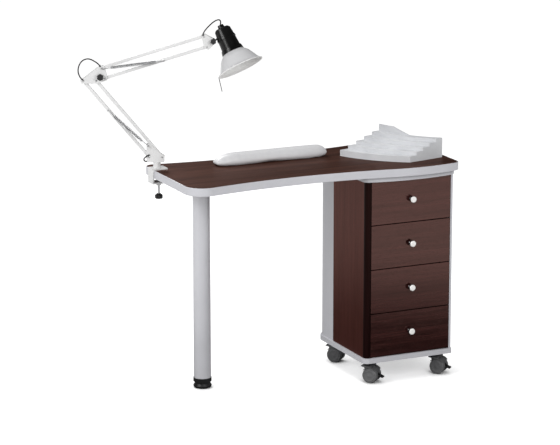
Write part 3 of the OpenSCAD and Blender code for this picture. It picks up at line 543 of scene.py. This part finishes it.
def smooth_path(points, pieces):
    """Points of a smooth curve through the given ones, by cubic pieces."""
    path = []
    for i in range(len(points) - 1):
        before = points[max(i - 1, 0)]
        a = points[i]
        b = points[i + 1]
        after = points[min(i + 2, len(points) - 1)]
        slope_a = (b - before) / 2
        slope_b = (after - a) / 2
        for k in range(pieces):
            t = k / pieces
            from_a = (2 * t**3 - 3 * t**2 + 1) * a + (t**3 - 2 * t**2 + t) * slope_a
            to_b = (3 * t**2 - 2 * t**3) * b + (t**3 - t**2) * slope_b
            path.append(from_a + to_b)
    return path + [points[-1]]


# Each loop: the pivot it starts from, how far it drifts across in metres, and its route in millimetres along
# the arms and up.
loops = {
    "base_cable": ("lower_arm_lift", 0.0075, [(2, 8), (-5, 6), (-12, 1), (-17, -5), (-17, -11), (-12, -14.5),
                                              (-6, -14.5), (-2, -14)]),
    "elbow_cable": ("elbow_level", 0, [(2, 2), (-5, 8), (-11, 17), (-15, 29), (-15, 43), (-10, 58), (0, 70),
                                       (14, 76), (28, 74), (41, 67), (52, 59), (60, 49)]),
    "head_cable": ("head_level", 0.0159, [(-3, 3), (-2, 10), (3, 20), (12, 31), (23, 42), (34, 51), (44, 56),
                                          (51, 57), (56, 53), (57, 46), (56, 39)]),
}
loop_bodies = {"base_cable": "lamp_base", "elbow_cable": "elbow"}
cable_across = -0.01075
path_pieces = 5
sheathing = sweeping("sheathing", rubber.material, Radius=0.0022, Sides=14)
for name, (start, drift, route_mm) in loops.items():
    last = len(route_mm) - 1
    route = []
    for i, (along, up) in enumerate(route_mm):
        across = cable_across + drift * (i / last) ** 3
        route.append(beside(pivot(start), along / 1000, up / 1000, across))
    loop = sheathing.grow(f"{name}_lead", path_mesh(f"{name}_path", smooth_path(route, path_pieces)))
    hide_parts(name)
    if name in loop_bodies:
        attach(loop, loop_bodies[name])
    else:
        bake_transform(loop)


# Lamp head: a glossy black cap, a spun white shade clipped into it, and a frosted bulb inside.
# The shade's inside is painted whiter than its outside as painted light, and a thin dark rod on its rim
# serves as a handle.
black_gloss = moulded("black_gloss", (0.002, 0.002, 0.002), (0.006, 0.006, 0.006), 0.18, 700.0, 0.25)
dress(black_gloss, ["head_stem", "lamp_cap"], tube_edge)
mouth_way = tuple((middle("lamp_shade") - middle("lamp_cap")).normalized())
# The whiter inside colour passed here is painted light.
shade_enamel = enamel("shade_enamel", (0.58, 0.58, 0.59), 0.24, (0.88, 0.88, 0.87), mouth_way)
dress(shade_enamel, ["lamp_shade"])
frosted = Paint("frosted_bulb", Specular_IOR_Level=0.5, Transmission_Weight=0.35, IOR=1.45)
frost = frosted.noise(90.0, 3.0)
frost_tone = frost.between(0.2, 0.8).mix((0.86, 0.86, 0.84), (0.95, 0.95, 0.94))
frosted.done(Base_Color=frost_tone, Roughness=frost * 0.2 + 0.3)
dress(frosted.material, ["lamp_bulb"])
dark_rod = moulded("dark_rod", (0.02, 0.02, 0.022), (0.045, 0.045, 0.05), 0.3)
dress(dark_rod, ["shade_handle"])


# Hand rest: a long foam pad in white vinyl, crowned, drawn in along its sides and sloping at its end by the
# lamp. A cloth simulation blows up its cover from a slightly narrower copy of its solid, with the base held
# flat, and the lower edge is then rolled under.
rest_low, rest_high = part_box("hand_rest_pad")
rest_middle = (Vector(rest_low) + Vector(rest_high)) / 2
rest_mesh = nodes["hand_rest_pad"].data.copy()
rest_mesh.materials.clear()
nose_length = 0.075
nose_low = 0.5
share_long = 0.972
share_deep = 0.965
share_high = 1.08
for vertex in rest_mesh.vertices:
    rise = min(1.0, (vertex.co.x - rest_low[0]) / nose_length)
    rise = nose_low + (1 - nose_low) * rise * (2 - rise)
    vertex.co.x = rest_high[0] + share_long * (vertex.co.x - rest_high[0])
    vertex.co.y = rest_middle.y + share_deep * (vertex.co.y - rest_middle.y)
    vertex.co.z = rest_low[2] + share_high * rise * (vertex.co.z - rest_low[2])
rest = bpy.data.objects.new("hand_rest_cover", rest_mesh)
scene.collection.objects.link(rest)
voxels = rest.modifiers.new("voxels", "REMESH")
voxels.mode = "VOXEL"
voxels.voxel_size = 0.005
voxels.use_smooth_shade = True
depsgraph = bpy.context.evaluated_depsgraph_get()
rest.data = bpy.data.meshes.new_from_object(rest.evaluated_get(depsgraph))
rest.modifiers.remove(voxels)

held_height = 0.003
cloth_frames = 20
most_swell = 0.006
least_height = 0.0003
start_points = [vertex.co.copy() for vertex in rest.data.vertices]
held = [i for i, point in enumerate(start_points) if point.z < rest_low[2] + held_height]
rest.vertex_groups.new(name="base").add(held, 1.0, "REPLACE")
cloth = rest.modifiers.new("cloth", "CLOTH")
cloth.settings.use_pressure = True
cloth.settings.uniform_pressure_force = 4.0
cloth.settings.effector_weights.gravity = 0.0
cloth.settings.vertex_group_mass = "base"
for step in range(1, cloth_frames + 1):
    scene.frame_set(step)
depsgraph = bpy.context.evaluated_depsgraph_get()
swollen = bpy.data.meshes.new_from_object(rest.evaluated_get(depsgraph))
rest.modifiers.remove(cloth)
for vertex, start, end in zip(rest.data.vertices, start_points, swollen.vertices):
    move = end.co - start
    vertex.co = start + move * min(1.0, most_swell / max(move.length, 1e-9))
    vertex.co.z = max(vertex.co.z, rest_low[2] + least_height)
scene.frame_set(1)

roll_height = 0.014
roll_in = 0.014
roll_fades = 0.03
for vertex in rest.data.vertices:
    under = max(0.0, 1.0 - (vertex.co.z - rest_low[2]) / roll_height) ** 2
    inwards = Vector((rest_middle.x - vertex.co.x, rest_middle.y - vertex.co.y, 0))
    vertex.co += roll_in * under * inwards.normalized() * min(1.0, inwards.length / roll_fades)
for polygon in rest.data.polygons:
    polygon.use_smooth = True
finer = rest.modifiers.new("finer", "SUBSURF")
finer.levels = 1
finer.render_levels = 1

vinyl = Paint("white_vinyl", Specular_IOR_Level=0.45)
vinyl_grain = vinyl.cells(700.0, feature="SMOOTH_F1")
vinyl_crease = vinyl.noise(55.0, 4.0)
vinyl_tone = vinyl_crease.between(0.3, 0.7).mix((0.62, 0.62, 0.635), (0.65, 0.65, 0.66))
vinyl_relief = vinyl.bump(vinyl_grain * 0.5 + vinyl_crease * 0.1, 0.0001, 0.3)
vinyl.done(Base_Color=vinyl_tone, Roughness=vinyl_grain * 0.2 + 0.32, Normal=vinyl_relief)
rest.data.materials.clear()
rest.data.materials.append(vinyl.material)
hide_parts("hand_rest_pad")
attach(rest, "table")


# Bottle rack: one moulding of glossy light grey plastic with bowed tiers.
# It stands loose on the table and rides on the table's body.
rack_plastic = moulded("rack_plastic", (0.61, 0.62, 0.64), (0.67, 0.68, 0.70), 0.26, 420.0)
dress(rack_plastic, ["bottle_rack"], soft_edge)


# Floor, light and camera: a pale floor in an even white room, with soft lights at left, back and front.
# The floor glows white to the camera, less so near the table so that the shadows stay, and its glow is dimmed
# where a piece is close above it as painted contact shadow.
floor_half = 30
floor_corners = [(-1, -1), (1, -1), (1, 1), (-1, 1)]
floor_mesh = bpy.data.meshes.new("floor")
floor_mesh.from_pydata([(floor_half * x, floor_half * y, 0) for x, y in floor_corners], [], [(0, 1, 2, 3)])
floor = bpy.data.objects.new("floor", floor_mesh)
scene.collection.objects.link(floor)
floor_paint = Paint("floor_paint", Roughness=0.7, Specular_IOR_Level=0.1, Emission_Strength=1.0)
floor_tone = floor_paint.noise(0.6, 2.0)
seen = floor_paint.node("ShaderNodeLightPath", {}, output="Is Camera Ray")
mirrored = floor_paint.node("ShaderNodeLightPath", {}, output="Is Glossy Ray")
from_table = [floor_paint.place, (0.5, -0.1, 0)]
reach = floor_paint.node("ShaderNodeVectorMath", from_table, output="Value", operation="DISTANCE")
# Ambient occlusion dims the floor's glow under castors and foot: painted contact shadow.
openness_for_painted_shadow = floor_paint.node("ShaderNodeAmbientOcclusion", {"Distance": 0.06}, output="AO", samples=8)
floor_white = floor_tone.mix((0.88, 0.88, 0.88), (0.92, 0.92, 0.92))
floor_grey = mirrored.mix((0.55, 0.55, 0.55), (0.08, 0.08, 0.08))
seen_glow = seen * openness_for_painted_shadow.between(0.30, 0.98) * (reach.between(0.5, 3.0) * 0.14 + 0.46)
mirrored_glow = mirrored * reach.between(0.7, 2.2)
floor_glow = (seen_glow + mirrored_glow).mix((0, 0, 0), (1, 1, 1))
floor_paint.done(Base_Color=seen.mix(floor_grey, floor_white), Emission_Color=floor_glow)
floor_mesh.materials.append(floor_paint.material)

world = bpy.data.worlds.new("room")
scene.world = world
world.use_nodes = True
room = Nodes(world.node_tree)
room_seen = room.node("ShaderNodeLightPath", {}, output="Is Camera Ray")
room_mirrored = room.node("ShaderNodeLightPath", {}, output="Is Glossy Ray")
room_level = 0.50
mirrored_level = 0.1
seen_level = 1.0
strength = room_seen.pick(room_mirrored.pick(room_level, mirrored_level), seen_level)
background = world.node_tree.nodes["Background"]
background.inputs["Color"].default_value = (1, 1, 1, 1)
world.node_tree.links.new(strength.socket, background.inputs["Strength"])


def soft_light(name, place, target, size, power):
    lamp = bpy.data.lights.new(name, "AREA")
    lamp.shape = "DISK"
    lamp.size = size
    lamp.energy = power
    made = bpy.data.objects.new(name, lamp)
    made.location = place
    made.rotation_euler = (Vector(target) - Vector(place)).to_track_quat("-Z", "Y").to_euler()
    scene.collection.objects.link(made)


soft_light("key", (-3.0, -0.8, 2.5), (0.3, 0, 0.6), 1.6, 68)
soft_light("back", (0.1, 2.5, 2.5), (0.35, -0.1, 0.7), 1.0, 48)
soft_light("fill", (0.4, -2.8, 2.0), (0.4, 0, 0.6), 1.4, 34)

camera_down = 13.6
camera_turn = -24.9973
camera_data = bpy.data.cameras.new("camera")
camera_data.sensor_width = 36
camera_data.lens = 171.069
camera_data.clip_end = 200
camera = bpy.data.objects.new("camera", camera_data)
scene.collection.objects.link(camera)
camera.location = (-3.5056, -8.1570, 2.7357)
camera.rotation_euler = (math.radians(90 - camera_down), 0, math.radians(camera_turn))
scene.camera = camera
scene.view_settings.view_transform = "Standard"
